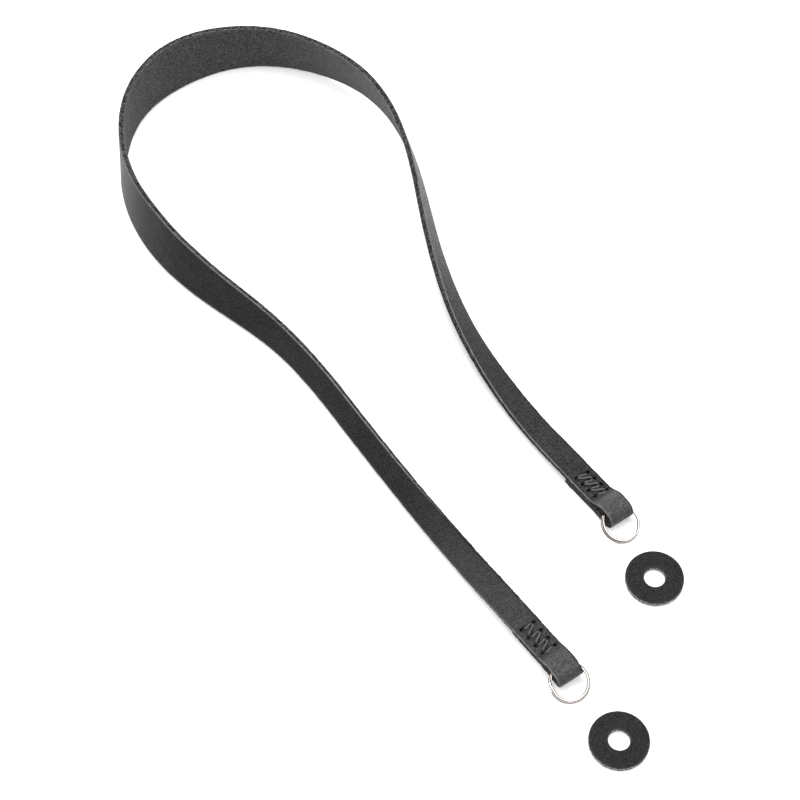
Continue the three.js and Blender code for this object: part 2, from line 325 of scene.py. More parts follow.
def rise_at(end, out):
    """How far the fold stands up off the lap's plane at a distance out."""
    return end["bulge"] * smoothstep(np.asarray(out) / end["rise"])


def hole_places(end, lacing):
    """The lacing holes in the zigzag's order: distance back from the fold's start, and side."""
    places = []
    for i in reversed(range(HOLES_IN_ROW)):
        back = i * lacing["pitch"] - lacing["first"]
        near = (back + ROW_STAGGER / 2, end["near"] * ROW_SPACING / 2)
        far = (back - ROW_STAGGER / 2, -end["near"] * ROW_SPACING / 2)
        places += [near, far] if lacing["starts_near"] else [far, near]
    places = np.array(places)
    places[:, 1] += lacing["side"] + lacing["drift"] * places[:, 0]
    return places


# Small tools

def ramp(x, low, high):
    """0 up to low and 1 from high on, with a smooth step between them."""
    return smoothstep((x - low) / (high - low))


def hump(distance, width):
    """A smooth bell: 1 at distance 0, and almost 0 at twice the width."""
    return np.exp(-((distance / width) ** 2))


def wavy(x, length, seed, octaves=3):
    """Smooth one-dimensional noise between about -1 and 1, with features of the given length."""
    r = np.random.default_rng(seed)
    total = np.zeros_like(x, dtype=float)
    size = 1.0
    for octave in range(octaves):
        step = length / 2**octave
        knots = r.uniform(-1, 1, int((x.max() - x.min()) / step) + 4)
        t = (x - x.min()) / step
        i = np.floor(t).astype(int)
        f = smoothstep(t - i)
        total += size * (knots[i] * (1 - f) + knots[i + 1] * f)
        size *= 0.55
    return total / 1.6


def in_scene(name, data):
    obj = bpy.data.objects.new(name, data)
    bpy.context.scene.collection.objects.link(obj)
    return obj


def make_mesh(name, points, faces, materials, face_material=None, smooth=True):
    """A mesh object from points in millimetres."""
    mesh = bpy.data.meshes.new(name)
    mesh.from_pydata([tuple(p) for p in points * MM], [], faces)
    for material in materials:
        mesh.materials.append(material)
    if face_material is not None:
        mesh.polygons.foreach_set("material_index", np.asarray(face_material, dtype=np.int32))
    mesh.polygons.foreach_set("use_smooth", [smooth] * len(mesh.polygons))
    mesh.update()
    return in_scene(name, mesh)


def add_float(obj, name, values):
    attribute = obj.data.attributes.new(name, "FLOAT", "POINT")
    attribute.data.foreach_set("value", np.asarray(values, dtype=np.float32))


def tube_faces(rows, count, base=0):
    """Quads and two caps of a tube of rows of count points, facing out for anticlockwise rows."""
    i, j = np.meshgrid(np.arange(rows - 1), np.arange(count), indexing="ij")
    a = i * count + j
    b = i * count + (j + 1) % count
    quads = np.stack([a, b, b + count, a + count], -1).reshape(-1, 4) + base
    last = base + (rows - 1) * count
    caps = [tuple(range(base + count - 1, base - 1, -1)), tuple(range(last, last + count))]
    return [tuple(q) for q in quads.tolist()] + caps


# Materials

def grey(value):
    return (value, value, value)


class Nodes:
    """A short way to write the nodes of a material or the sky."""

    def __init__(self, owner, shader):
        owner.use_nodes = True
        self.owner = owner
        self.tree = owner.node_tree
        self.shader = self.tree.nodes[shader]

    def put(self, socket, value):
        """Link a socket to another node's output, or set it; a colour gets its fourth number here."""
        if isinstance(value, bpy.types.NodeSocket):
            self.tree.links.new(value, socket)
        elif socket.type == "RGBA":
            socket.default_value = (*value, 1)
        else:
            socket.default_value = value

    def add(self, kind, inputs=None, **settings):
        node = self.tree.nodes.new(kind)
        for key, value in settings.items():
            setattr(node, key, value)
        for key, value in (inputs or {}).items():
            self.put(node.inputs[key], value)
        return node

    def uv(self, scale):
        """The strip's own coordinates in metres, along and across, times a scale."""
        source = self.add("ShaderNodeUVMap", uv_map="strip").outputs[0]
        return self.add("ShaderNodeMapping", {"Vector": source, "Scale": scale}).outputs[0]

    def place(self, scale=(1, 1, 1)):
        """The object's own coordinates in metres, times a scale."""
        source = self.add("ShaderNodeTexCoord").outputs["Object"]
        return self.add("ShaderNodeMapping", {"Vector": source, "Scale": scale}).outputs[0]

    def noise(self, vector, scale, detail, roughness, distortion=0.0):
        inputs = {"Vector": vector, "Scale": scale, "Detail": detail, "Roughness": roughness}
        return self.add("ShaderNodeTexNoise", {**inputs, "Distortion": distortion}).outputs["Fac"]

    def voronoi(self, vector, scale):
        return self.add("ShaderNodeTexVoronoi", {"Vector": vector, "Scale": scale}).outputs["Distance"]

    def attribute(self, name):
        return self.add("ShaderNodeAttribute", attribute_name=name).outputs["Fac"]

    def math(self, operation, *values, clamp=False):
        inputs = dict(enumerate(values))
        return self.add("ShaderNodeMath", inputs, operation=operation, use_clamp=clamp).outputs[0]

    def remap(self, value, low, high, to_low=0.0, to_high=1.0):
        inputs = {"Value": value, "From Min": low, "From Max": high, "To Min": to_low, "To Max": to_high}
        return self.add("ShaderNodeMapRange", inputs).outputs[0]

    def mix(self, factor, a, b):
        return self.add("ShaderNodeMix", {0: factor, 6: a, 7: b}, data_type="RGBA").outputs[2]

    def bump(self, height, strength, distance):
        inputs = {"Height": height, "Strength": strength, "Distance": distance}
        return self.add("ShaderNodeBump", inputs).outputs[0]

    def connect(self, **sockets):
        for name, value in sockets.items():
            self.put(self.shader.inputs[name.replace("_", " ")], value)
        return self.owner


def new_material(name):
    return Nodes(bpy.data.materials.new(name), "Principled BSDF")


def grain_material():
    """Smooth dyed grain side: fine pebbled pores, faint creases with a painted highlight on the folds,
    uneven polish, corners paler by rubbing and a painted highlight, and painted shade in the lace's holes
    and grooves and at the laps' far edge.
    """
    m = new_material("grain_leather")
    place = m.place()
    pebble = m.voronoi(place, 1900)
    fine = m.noise(place, 2000, 3, 0.6)
    cloud = m.noise(place, 70, 4, 0.6)
    broad = m.noise(place, 16, 3, 0.5)
    streaks = m.noise(m.uv((30, 300, 1)), 1.0, 3, 0.5)
    creases = m.noise(m.uv((1300, 360, 1)), 1.0, 4, 0.6, 0.6)
    draws = m.noise(m.uv((220, 1300, 1)), 1.0, 3, 0.6)
    fold = m.attribute("fold")
    pit_and_shade = m.attribute("pit_and_shade")
    rim = m.attribute("rim")
    speck = m.math("ADD", m.math("MULTIPLY", fine, 0.6), m.math("MULTIPLY", pebble, 0.55))
    speck = m.remap(speck, 0.45, 0.63)
    colour = m.mix(m.remap(cloud, 0.3, 0.7), (0.0028, 0.0028, 0.0029), (0.0044, 0.0044, 0.0045))
    colour = m.mix(m.remap(broad, 0.4, 0.7, 0, 0.5), colour, (0.005, 0.005, 0.0051))
    colour = m.mix(m.math("MULTIPLY", speck, 0.6), colour, (0.014, 0.014, 0.0143))
    # painted highlight: the folds are paler along their creases
    crease_highlight = m.math("MULTIPLY", m.remap(draws, 0.35, 0.6, 0.7, 1.0), m.remap(creases, 0.38, 0.62, 0.4, 0.95))
    colour = m.mix(m.math("MULTIPLY", fold, crease_highlight, clamp=True), colour, (0.085, 0.085, 0.086))
    # corners paler by rubbing and a painted highlight
    worn_and_lit = m.math("MULTIPLY", m.math("MAXIMUM", rim, 0.0), m.remap(fine, 0.3, 0.6, 0.35, 1.0), clamp=True)
    colour = m.mix(worn_and_lit, colour, grey(0.22))
    # painted shade in the lace's holes and grooves and at the laps' far edge, where the gloss is taken away
    # too
    painted_shade = m.math("MAXIMUM", pit_and_shade, m.math("MULTIPLY", rim, -1.0), clamp=True)
    colour = m.mix(painted_shade, colour, grey(0.001))
    gloss = m.math("MULTIPLY", m.remap(speck, 0.0, 1.0, 0.03, 0.36), m.remap(cloud, 0.3, 0.7, 0.85, 1.15))
    gloss = m.math("MULTIPLY", gloss, m.math("SUBTRACT", 1.0, m.math("MULTIPLY", painted_shade, 0.92)), clamp=True)
    rough = m.math("ADD", m.math("MULTIPLY", cloud, 0.5), m.math("MULTIPLY", fine, 0.5))
    rough = m.remap(rough, 0.3, 0.7, 0.27, 0.38)
    rough = m.math("ADD", rough, m.math("MULTIPLY", painted_shade, 0.5), clamp=True)
    height = m.math("ADD", m.math("MULTIPLY", pebble, 0.7), m.math("MULTIPLY", fine, 0.6))
    height = m.math("ADD", height, m.math("MULTIPLY", streaks, 0.5))
    height = m.math("ADD", height, m.math("MULTIPLY", m.math("MULTIPLY", creases, fold), 2.6))
    normal = m.bump(height, 0.9, 0.0004)
    return m.connect(Base_Color=colour, Roughness=rough, Normal=normal, Specular_IOR_Level=gloss,
                     Sheen_Weight=0.35, Sheen_Roughness=0.2)


def flesh_material():
    """Suede-like inner side: peppered and napped, with a painted sheen along the far branch, corners paler
    by rubbing and a painted highlight, and a dark line just inside them.
    """
    m = new_material("flesh_leather")
    place = m.place()
    nap = m.noise(place, 2000, 4, 0.65, 0.3)
    clump = m.noise(place, 800, 4, 0.65, 0.5)
    cloud = m.noise(place, 50, 3, 0.5)
    hairs = m.noise(m.uv((160, 1300, 1)), 1.0, 4, 0.65, 0.4)
    rim = m.attribute("rim")
    far_sheen = m.attribute("far_sheen")
    pepper = m.math("ADD", m.math("MULTIPLY", nap, 0.65), m.math("MULTIPLY", clump, 0.35))
    colour = m.mix(m.remap(pepper, 0.43, 0.57), (0.014, 0.014, 0.0142), (0.115, 0.115, 0.116))
    colour = m.mix(m.remap(nap, 0.54, 0.66, 0, 0.8), colour, (0.27, 0.27, 0.272))
    colour = m.mix(m.remap(cloud, 0.35, 0.7, 0, 0.3), colour, (0.040, 0.040, 0.0402))
    # painted sheen, in streaks, along the far branch's flesh side
    sheen_streaks = m.math("MULTIPLY", far_sheen, m.remap(hairs, 0.4, 0.65, 0.35, 1.0), clamp=True)
    colour = m.mix(sheen_streaks, colour, (0.24, 0.24, 0.242))
    broken = m.math("MULTIPLY", m.remap(nap, 0.40, 0.6, 0.0, 0.55), m.remap(cloud, 0.42, 0.6, 0.0, 1.0))
    # corners paler by rubbing and a painted highlight
    rubbed_and_lit = m.math("MULTIPLY", m.math("MAXIMUM", rim, 0.0), broken, clamp=True)
    colour = m.mix(rubbed_and_lit, colour, grey(0.24))
    colour = m.mix(m.math("MULTIPLY", rim, -1.0, clamp=True), colour, grey(0.006))
    height = m.math("ADD", nap, m.math("MULTIPLY", clump, 0.8))
    normal = m.bump(height, 0.8, 0.0004)
    return m.connect(Base_Color=colour, Roughness=0.95, Normal=normal, Specular_IOR_Level=0.15,
                     Sheen_Weight=0.10, Sheen_Roughness=0.45)


def edge_material(name, gap, low, high, dot):
    """Raw cut edge: fibres from low to high, dark gaps and pale dots, lighter along both corners by rubbing
    and a painted highlight.
    """
    m = new_material(name)
    place = m.place()
    fibre = m.noise(place, 1300, 4, 0.7, 0.6)
    clump = m.noise(place, 560, 4, 0.6, 1.0)
    holes = m.voronoi(place, 900)
    rim = m.attribute("rim")
    colour = m.mix(m.remap(fibre, 0.38, 0.66), grey(low), grey(high))
    colour = m.mix(m.remap(clump, 0.48, 0.58, 0, 0.9), colour, grey(gap))
    colour = m.mix(m.remap(holes, 0.12, 0.34, 0.85, 0.0), colour, grey(dot))
    broken = m.remap(clump, 0.40, 0.56, 0.9, 0.1)
    # corners paler by rubbing and a painted highlight
    rubbed_and_lit = m.math("MULTIPLY", m.math("MAXIMUM", rim, 0.0), broken, clamp=True)
    colour = m.mix(rubbed_and_lit, colour, grey(0.16))
    height = m.math("ADD", fibre, m.math("MULTIPLY", clump, 1.5))
    normal = m.bump(height, 1.0, 0.0005)
    return m.connect(Base_Color=colour, Roughness=0.9, Normal=normal, Specular_IOR_Level=0.15)


def lace_material():
    """Thin waxed lace: a little glossy, with paler flecks."""
    m = new_material("lace_leather")
    place = m.place()
    fine = m.noise(place, 1600, 4, 0.6)
    patch = m.noise(place, 420, 3, 0.5)
    colour = m.mix(m.remap(patch, 0.3, 0.7), grey(0.012), grey(0.028))
    colour = m.mix(m.remap(fine, 0.45, 0.7, 0, 0.7), colour, grey(0.07))
    normal = m.bump(fine, 0.5, 0.0003)
    return m.connect(Base_Color=colour, Roughness=0.42, Normal=normal, Specular_IOR_Level=0.55)


def steel_material():
    """Bright nickel plate with faint drawing marks, with a painted dark reflection and painted shade where
    the wire faces down and along its flanks.
    """
    m = new_material("bright_nickel")
    place = m.place()
    marks = m.noise(m.place((400, 400, 4000)), 1.0, 3, 0.5)
    wear = m.noise(place, 500, 3, 0.5)
    rough = m.remap(wear, 0.3, 0.7, 0.04, 0.12)
    normal = m.bump(marks, 0.05, 0.0001)
    colour = m.mix(m.remap(wear, 0.35, 0.7), (0.80, 0.74, 0.70), (0.88, 0.84, 0.80))
    # painted dark reflection and shade on the wire's underside and flanks
    colour = m.mix(m.remap(m.attribute("dark_reflection"), 0.1, 0.5), colour, (0.035, 0.021, 0.017))
    return m.connect(Base_Color=colour, Roughness=rough, Metallic=1.0, Normal=normal)


def washer_material():
    """Fine even grain, matte and darker than the strap, paler at its corners by rubbing and a painted
    highlight.
    """
    m = new_material("washer_leather")
    place = m.place()
    fine = m.noise(place, 2300, 3, 0.6)
    pebble = m.voronoi(place, 2300)
    cloud = m.noise(place, 90, 4, 0.6)
    rim = m.attribute("rim")
    speck = m.math("ADD", m.math("MULTIPLY", fine, 0.6), m.math("MULTIPLY", pebble, 0.55))
    speck = m.remap(speck, 0.44, 0.66)
    colour = m.mix(m.remap(cloud, 0.3, 0.7), (0.0025, 0.0025, 0.0026), (0.0045, 0.0045, 0.0046))
    colour = m.mix(m.math("MULTIPLY", speck, 0.6), colour, (0.026, 0.026, 0.0262))
    # corners paler by rubbing and a painted highlight
    worn_and_lit = m.math("MULTIPLY", rim, m.remap(fine, 0.35, 0.6, 0.3, 1.0), clamp=True)
    colour = m.mix(worn_and_lit, colour, grey(0.06))
    rough = m.remap(fine, 0.3, 0.7, 0.6, 0.75)
    gloss = m.remap(speck, 0.0, 1.0, 0.03, 0.22)
    normal = m.bump(m.math("ADD", fine, pebble), 0.6, 0.0003)
    return m.connect(Base_Color=colour, Roughness=rough, Normal=normal, Specular_IOR_Level=gloss)


GRAIN = grain_material()
FLESH = flesh_material()
EDGE = edge_material("raw_edge", gap=0.006, low=0.010, high=0.085, dot=0.26)
LACE = lace_material()
STEEL = steel_material()
WASHER = washer_material()
WASHER_EDGE = edge_material("washer_edge", gap=0.05, low=0.20, high=0.70, dot=0.85)


# The strap

def section_columns():
    """One cross-section's points: share of the flat half width, offset, height, and zone."""
    half = THICK / 2
    flat = half - CORNER_RADIUS
    turns = [math.radians(a) for a in CORNER_ANGLES]

    def corner(side, face, zone, angles):
        return [(side, side * CORNER_RADIUS * math.sin(a),
                 face * (half - CORNER_RADIUS * (1 - math.cos(a))), zone) for a in angles]

    columns = [(share, 0.0, half, GRAIN_ZONE) for share in np.linspace(-1, 1, GRAIN_COLUMNS)]
    columns += corner(1, 1, GRAIN_ZONE, turns)
    columns += [(1, CORNER_RADIUS, z, EDGE_ZONE) for z in np.linspace(flat, -flat, EDGE_COLUMNS)]
    columns += corner(1, -1, FLESH_ZONE, turns[::-1])
    columns += [(share, 0.0, -half, FLESH_ZONE) for share in np.linspace(1, -1, FLESH_COLUMNS)]
    columns += corner(-1, -1, FLESH_ZONE, turns)
    columns += [(-1, -CORNER_RADIUS, z, EDGE_ZONE) for z in np.linspace(-flat, flat, EDGE_COLUMNS)]
    columns += corner(-1, 1, GRAIN_ZONE, turns[::-1])
    return np.array(columns)


def fold_stations(end):
    """Stations from the start of the fold round it to the cut tail."""
    radius = (end["bulge"] + LAYER_PITCH) / 2
    rows = []
    # up from the lap
    for t in np.linspace(0, 1, 33)[1:]:
        ahead = end["rise"] * t
        slope = math.atan2(end["bulge"] * 6 * t * (1 - t), end["rise"])
        thick = THICK + (FOLD_THICK - THICK) * float(smoothstep(t))
        rows.append((ahead, float(rise_at(end, ahead)), -slope, thick, float(smoothstep(t * 1.3))))
    # round the ring
    for t in np.linspace(0, 1, 34):
        angle = math.pi * t
        ahead = end["nose"] + radius * math.sin(angle)
        above = end["bulge"] - radius * (1 - math.cos(angle))
        rows.append((ahead, above, angle, FOLD_THICK, float(1 - smoothstep((t - 0.5) * 2.5))))
    # back under the lap
    for t in np.linspace(0, 1, 12)[1:-1]:
        thick = FOLD_THICK + (THICK - FOLD_THICK) * t
        rows.append((end["nose"] * (1 - t), -LAYER_PITCH, math.pi, thick, 0.0))
    out, above, turn, thick, fold = np.array(rows).T
    f = fold_frames(end, out)
    cos, sin = np.cos(turn)[:, None], np.sin(turn)[:, None]
    centre = f["centre"] + f["grain"] * above[:, None]
    grain = f["grain"] * cos + f["forward"] * sin
    tail_back = np.append(np.arange(0, end["tail"], TAIL_STEP), end["tail"])
    tail = frames_at(end["at"] - end["ahead"] * tail_back)
    count = len(tail_back)
    return dict(
        centre=np.vstack([centre, tail["centre"] - tail["grain"] * LAYER_PITCH]),
        across=np.vstack([f["across"], tail["across"]]),
        grain=np.vstack([grain, -tail["grain"]]),
        width=np.append(f["width"], np.full(count, END_WIDTH)),
        thick=np.append(thick, np.full(count, THICK)),
        back=np.append(-out, tail_back),
        under=np.append((turn > math.pi / 2).astype(int), np.ones(count, int)),
        fold=np.append(fold, np.zeros(count)),
    )


def strap_stations():
    """All stations from tail A to tail B, close together where the strap is laced."""
    fine = np.arange(0, LACED_LENGTH, LACED_STEP)
    middle = np.arange(LACED_LENGTH, RUN_LENGTH - LACED_LENGTH, RUN_STEP)
    along = np.concatenate([fine, middle, RUN_LENGTH - fine[::-1]])
    run = frames_at(along)
    del run["tangent"]
    run["back"] = np.where(along < RUN_LENGTH / 2, along, RUN_LENGTH - along)
    run["under"] = np.zeros(len(along), int)
    # creases, with a painted highlight, near end A
    run["fold"] = CREASES_AND_HIGHLIGHT_AT_A * (1 - ramp(along, *CREASES_AND_HIGHLIGHT_TO))
    run["thick"] = np.full(len(along), THICK)
    run["end"] = np.where(along < RUN_LENGTH / 2, 0, 1)
    first = fold_stations(ENDS["a"])
    last = fold_stations(ENDS["b"])
    first["end"] = np.zeros(len(first["fold"]), int)
    last["end"] = np.ones(len(last["fold"]), int)
    return {key: np.concatenate([first[key][::-1], run[key], last[key]]) for key in run}


def segment_distance(p, a, b):
    """Distance of points p from the straight line between a and b."""
    ab = b - a
    t = np.clip(((p - a) @ ab) / (ab @ ab), 0, 1)
    return np.linalg.norm(p - (a + t[..., None] * ab), axis=-1)


def lace_relief(back, side, places):
    """How far the lace pulls the leather in, and where shade is painted in its holes and along its two
    sides.
    """
    p = np.stack([back, side], -1)
    nearest = np.full(back.shape, 1e3)
    for a, b in zip(places[:-1], places[1:]):
        nearest = np.minimum(nearest, segment_distance(p, a, b))
    holes = np.full(back.shape, 1e3)
    middle = places[:, 1].mean()
    for a in places:
        outward = np.array([0.0, HOLE_STRETCH * np.sign(a[1] - middle)])
        holes = np.minimum(holes, segment_distance(p, a, a + outward))
    trough = TROUGH_DEPTH * hump(nearest, TROUGH_REACH)
    lip = LIP_HEIGHT * hump(nearest - LIP_AT, LIP_REACH)
    dimple = DIMPLE_DEPTH * hump(holes, DIMPLE_REACH)
    # the holes are sunk, and painted dark as shade
    pit_and_shade = 1 - ramp(holes, HOLE_RADIUS * 0.75, HOLE_RADIUS * 1.2)
    # painted shade along both sides of the lace
    groove_shade = OUTLINE_DARK * hump(nearest - OUTLINE_AT, OUTLINE_REACH)
    return lip - trough - dimple - PIT_DEPTH * pit_and_shade, np.maximum(pit_and_shade, groove_shade)


def laced_relief(s, side, zone):
    """The lace's relief and painted shade over the whole strap, on the laps' grain side."""
    relief = np.zeros_like(side)
    pit_and_shade = np.zeros_like(side)
    on_grain = np.broadcast_to(zone == GRAIN_ZONE, side.shape)
    for index, key in enumerate(ENDS):
        places = hole_places(ENDS[key], LACING[key])
        laced = (s["end"] == index) & (s["back"] > -5) & (s["back"] < places[:, 0].max() + 3)
        laced &= (s["back"] > -4) | (s["under"] == 0)
        back = np.broadcast_to(s["back"][laced][:, None], side[laced].shape)
        depth, painted_shade = lace_relief(back, side[laced], places)
        relief[laced] = np.where(on_grain[laced], depth, 0)
        pit_and_shade[laced] = np.where(on_grain[laced], painted_shade, 0)
    return relief, pit_and_shade


def ragged_side(side, half, share, height, zone, length):
    """The cut edges waver along the strap and fray between its two faces."""
    right = EDGE_WAVE * wavy(length, 3.2, 1) + EDGE_RIPPLE * wavy(length, 1.5, 2, 1)
    left = EDGE_WAVE * wavy(length, 3.2, 3) + EDGE_RIPPLE * wavy(length, 1.5, 4, 1)
    near_right = ramp(side - half, -EDGE_REACH, 0)
    near_left = ramp(-side - half, -EDGE_REACH, 0)
    side = side + right[:, None] * near_right - left[:, None] * near_left
    between = 1 - (height / (THICK / 2)) ** 2
    fray = EDGE_FRAY * np.random.default_rng(7).standard_normal(side.shape)
    return side + np.where(zone == EDGE_ZONE, np.sign(share) * fray * between, 0)


def corner_wear_and_light(s, side, half, height, zone):
    """From pale, 1, where a corner is rubbed and has a painted highlight, to dark, -1, where shade is
    painted along the far edge or a dark line runs inside the flesh corners.
    """
    to_side = half + CORNER_RADIUS - np.abs(side)
    to_face = s["thick"][:, None] / 2 - np.abs(height)
    wear = np.where(zone == EDGE_ZONE, 0.9 * hump(to_face, 0.45), hump(to_side, 0.42))
    # painted shade: the far edge of both laps is dark near the ends
    far = -np.where(s["end"] == 0, ENDS["a"]["near"], ENDS["b"]["near"])[:, None]
    near_end = ramp(s["back"], *SHADED_TO)[:, None]
    shaded = wear * (1 - near_end) - 0.8 * near_end * hump(to_side, 0.6)
    wear = np.where((zone == GRAIN_ZONE) & (np.sign(side) == far), shaded, wear)
    # a line just inside the flesh side's corners is dark too
    seam = 0.55 * hump(to_side - 1.3, 0.5)
    wear = np.where((zone == FLESH_ZONE) & (to_side > 0.75), wear - seam, wear)
    return np.clip(wear, -1, 1)


def build_strap():
    """The strap's whole surface, with what its materials need: corners with wear and painted light, painted
    sheen, folds, holes and painted shade, and a map.
    """
    s = strap_stations()
    columns = section_columns()
    rows, count = len(s["width"]), len(columns)
    share, offset, height, zone = (columns[:, k][None, :] for k in range(4))
    half = s["width"][:, None] / 2 - CORNER_RADIUS
    step = np.linalg.norm(np.diff(s["centre"], axis=0), axis=1)
    length = np.concatenate([[0], np.cumsum(step)])
    side = ragged_side(share * half + offset, half, share, height, zone, length)
    height = THICK / 2 - (THICK / 2 - height) * s["thick"][:, None] / THICK
    # corner wear with a painted highlight, and painted shade
    wear = corner_wear_and_light(s, side, half, height, zone)
    relief, pit_and_shade = laced_relief(s, side, zone)
    height = height + relief

    def flip(values):
        """The columns run the other way round in the mesh, so that its faces point out."""
        return values[:, ::-1].reshape(-1, *values.shape[2:])

    centre, across, grain = (s[k][:, None, :] for k in ("centre", "across", "grain"))
    points = flip(centre + across * side[..., None] + grain * height[..., None])
    points[:, 2] = np.maximum(points[:, 2], 0.0)
    zones = zone[0, ::-1].astype(int)
    following = np.roll(zones, -1)
    all_edge = (zones == EDGE_ZONE) & (following == EDGE_ZONE)
    any_flesh = (zones == FLESH_ZONE) | (following == FLESH_ZONE)
    column_zone = np.select([all_edge, any_flesh], [EDGE_ZONE, FLESH_ZONE], GRAIN_ZONE)
    face_zone = np.concatenate([np.tile(column_zone, rows - 1), [EDGE_ZONE, EDGE_ZONE]])
    obj = make_mesh("strap_leather", points, tube_faces(rows, count), [GRAIN, EDGE, FLESH], face_zone)

    # painted sheen: the flesh side is paler along the far branch
    start = int(np.argmax((s["back"] >= 0) & (s["under"] == 0) & (s["end"] == 0)))
    along = length - length[start]
    far_sheen = FAR_SHEEN * ramp(along, *FAR_SHEEN_FROM) * (1 - ramp(along, *FAR_SHEEN_TO))
    # corners: wear with a painted highlight, and painted shade
    add_float(obj, "rim", flip(wear))
    # painted sheen along the far branch
    add_float(obj, "far_sheen", np.repeat(far_sheen, count))
    add_float(obj, "fold", np.repeat(s["fold"], count))
    # painted shade in the holes and along the lace
    add_float(obj, "pit_and_shade", flip(pit_and_shade))
    loops = np.empty(len(obj.data.loops), dtype=np.int32)
    obj.data.loops.foreach_get("vertex_index", loops)
    strip = np.stack([np.repeat(length, count), flip(side)], -1) * MM
    uv = obj.data.uv_layers.new(name="strip")
    uv.data.foreach_set("uv", strip[loops].reshape(-1).astype(np.float32))
    return obj


def build_fuzz():
    """Loose fibre ends along both raw edges, each a tiny three-sided point."""
    local = np.random.default_rng(21)
    along = np.sort(local.uniform(0, RUN_LENGTH, FUZZ_COUNT))
    f = frames_at(along)
    side = local.choice([-1.0, 1.0], FUZZ_COUNT)[:, None]
    height = local.uniform(-0.36, 0.36, FUZZ_COUNT)[:, None] * THICK
    reach = (0.12 + 0.50 * local.random(FUZZ_COUNT) ** 2)[:, None]
    spread = local.uniform(0.14, 0.32, FUZZ_COUNT)[:, None]
    out = f["across"] * side
    root = f["centre"] + out * (f["width"][:, None] / 2 - FUZZ_ROOT) + f["grain"] * height
    lean = f["tangent"] * local.uniform(-0.3, 0.3, FUZZ_COUNT)[:, None]
    tip = root + out * (reach + FUZZ_ROOT) + lean
    turn = local.uniform(0, 2 * np.pi, FUZZ_COUNT)[:, None]
    corners = []
    for step in range(3):
        angle = turn + step * 2 * np.pi / 3 * side
        corners.append(root + (f["tangent"] * np.cos(angle) + f["grain"] * np.sin(angle)) * spread)
    points = np.stack(corners + [tip], 1).reshape(-1, 3)
    points[:, 2] = np.maximum(points[:, 2], 0.0)
    first = np.arange(FUZZ_COUNT) * 4
    faces = []
    for triangle in ((0, 1, 3), (1, 2, 3), (2, 0, 3), (0, 2, 1)):
        faces += [tuple(a + k for k in triangle) for a in first]
    return make_mesh("edge_fuzz", points, faces, [EDGE], smooth=False)


# The lace

def sweep(path, radius, up):
    """A round strand along a path, flattened a little."""
    tangent = unit(np.gradient(path, axis=0))
    sideways = unit(np.cross(tangent, up))
    normal = unit(np.cross(sideways, tangent))
    angle = 2 * np.pi * (np.arange(LACE_SIDES) + 0.5) / LACE_SIDES
    cos, sin = np.cos(angle)[None, :, None], np.sin(angle)[None, :, None]
    ring = cos * sideways[:, None] + sin * normal[:, None] * LACE_FLATNESS
    return (path[:, None] + ring * radius).reshape(-1, 3)


def strand_path(start, finish, frame_of, high, deep, sway, follow):
    """A strand from one hole to the next: out of the leather, over it, and in again."""
    path = []
    span = np.linalg.norm(finish - start)
    way = (finish - start) / span
    aside = np.array([-way[1], way[0]])
    for t in np.linspace(0, 1, LACE_POINTS):
        rise = float(smoothstep(min(t, 1 - t) * span / LACE_BEND))
        back, side = start + (finish - start) * t + aside * sway * math.sin(2 * math.pi * t)
        f, lift = frame_of(back)
        height = high * rise + deep * (1 - rise) + lift * follow
        path.append(f["centre"] + f["across"] * side + f["grain"] * height)
    return np.array(path)


def build_lacing(name, end, lacing):
    """Strands over and under the laps, and a post through each hole."""
    places = hole_places(end, lacing)
    points, faces = [], []

    def frame_of(back):
        if back >= 0:
            return lap_frame(end, back), 0.0
        return fold_frame(end, -back), float(rise_at(end, -back))

    def add(path, up, radius=LACE_RADIUS):
        faces.extend(tube_faces(len(path), LACE_SIDES, base=sum(len(p) for p in points)))
        points.append(sweep(path, radius, up))

    top = THICK / 2
    under = -LAYER_PITCH - THICK / 2
    grain = frame_at(end["at"])["grain"]
    for i, (a, b) in enumerate(zip(places[:-1], places[1:])):
        odd = i % 2
        way = (b - a) / np.linalg.norm(b - a)
        shift = np.array([LACE_SHIFT * (1 if odd else -1), 0.0])
        sway = LACE_SWAY * (-1 if odd else 1)
        over = strand_path(a + way * OVER_INSET + shift, b - way * OVER_INSET + shift, frame_of,
                           high=top - OVER_SINK + OVER_STEP * odd, deep=top - OVER_DEPTH,
                           sway=sway, follow=1)
        dark_reflection = strand_path(a + way * UNDER_INSET - shift, b - way * UNDER_INSET - shift, frame_of,
                            high=under + UNDER_SINK, deep=under + UNDER_DEPTH, sway=0, follow=0)
        add(over, grain)
        add(dark_reflection, -grain)
    for back, side in places:
        f, lift = frame_of(back)
        base = f["centre"] + f["across"] * side
        heights = np.linspace(under + POST_FOOT, top - POST_TOP + lift, 8)
        post = np.array([base + f["grain"] * h for h in heights])
        add(post, f["across"], LACE_RADIUS * 1.05)
    points = np.vstack(points)
    points[:, 2] = np.maximum(points[:, 2], 0.0)
    return make_mesh(name, points, faces, [LACE])


# The rings

def fuller(value):
    """A cosine or sine, from -1 to 1, that makes the wire's section a little fuller than round."""
    return np.sign(value) * np.abs(value) ** RING_FULLNESS


